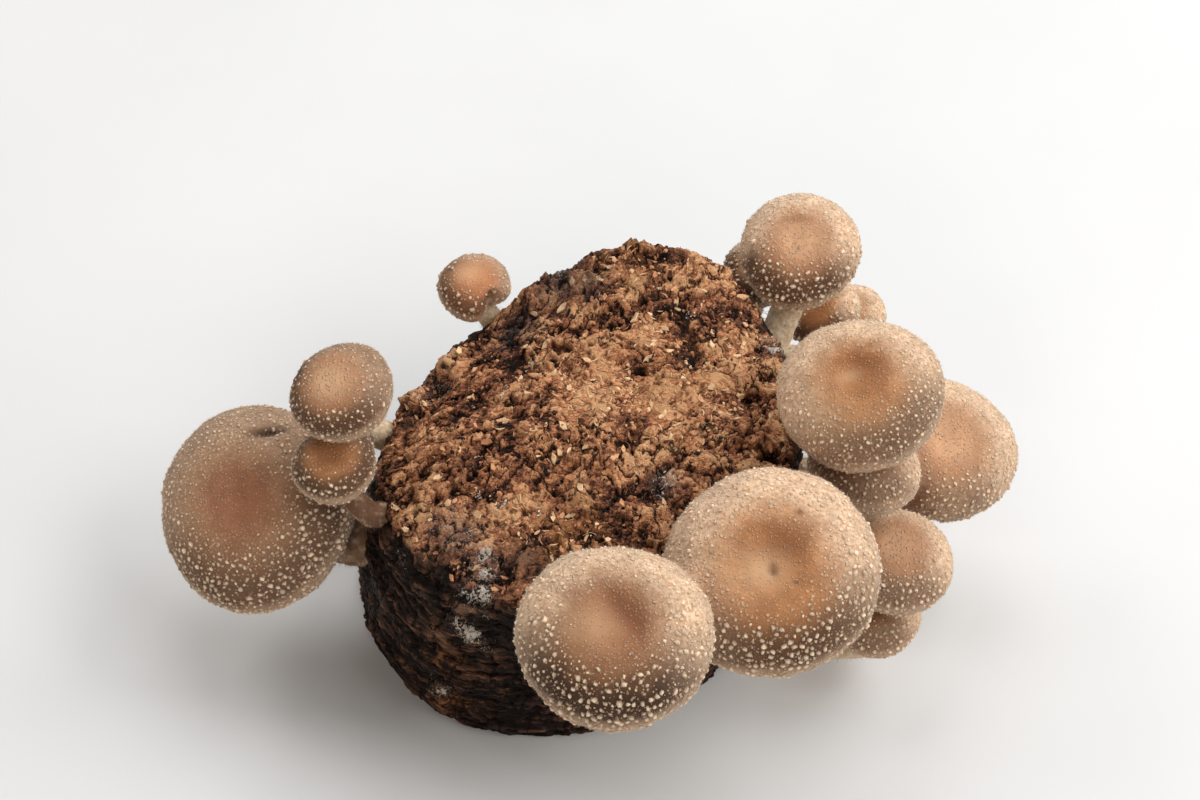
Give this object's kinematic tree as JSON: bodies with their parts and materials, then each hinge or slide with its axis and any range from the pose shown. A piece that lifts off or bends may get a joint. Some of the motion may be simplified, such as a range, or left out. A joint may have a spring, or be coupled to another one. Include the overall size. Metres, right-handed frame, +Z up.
{
  "type": "shiitake cultivation block",
  "caption": "Round sawdust cultivation block with shiitake mushrooms fruiting from its wall and rim; stands on its flat base.",
  "frame": {"origin": "middle of the block's flat base", "axes": "+Z up, +X towards the side with most mushrooms, -Y towards the side with the large front cap"},
  "size_m": [0.2557, 0.2035, 0.1093],
  "materials": {
    "substrate": "crumbly brown sawdust crust with tan chips and white mycelium",
    "cap_skin": "matte tan-brown skin with raised cream flecks",
    "stem_flesh": "matte cream fibrous flesh"
  },
  "bodies": {
    "root": {"substrate_block": "substrate", "cap_front": "cap_skin", "cap_right_front": "cap_skin", "cap_left_large": "cap_skin", "cap_right_top": "cap_skin", "cap_right_outer": "cap_skin", "cap_right_tucked": "cap_skin", "cap_right_low": "cap_skin", "cap_right_lowest": "cap_skin", "cap_back_right": "cap_skin", "cap_back_right_far": "cap_skin", "cap_back_right_near": "cap_skin", "cap_back_right_outer": "cap_skin", "cap_left_top": "cap_skin", "cap_left_middle": "cap_skin", "cap_back_left": "cap_skin", "stem_front": "stem_flesh", "stem_right_front": "stem_flesh", "stem_left_large": "stem_flesh", "stem_right_top": "stem_flesh", "stem_right_outer": "stem_flesh", "stem_right_tucked": "stem_flesh", "stem_right_low": "stem_flesh", "stem_right_lowest": "stem_flesh", "stem_back_right": "stem_flesh", "stem_back_right_far": "stem_flesh", "stem_back_right_near": "stem_flesh", "stem_back_right_outer": "stem_flesh", "stem_left_top": "stem_flesh", "stem_left_middle": "stem_flesh", "stem_back_left": "stem_flesh"}
  },
  "joints": []
}
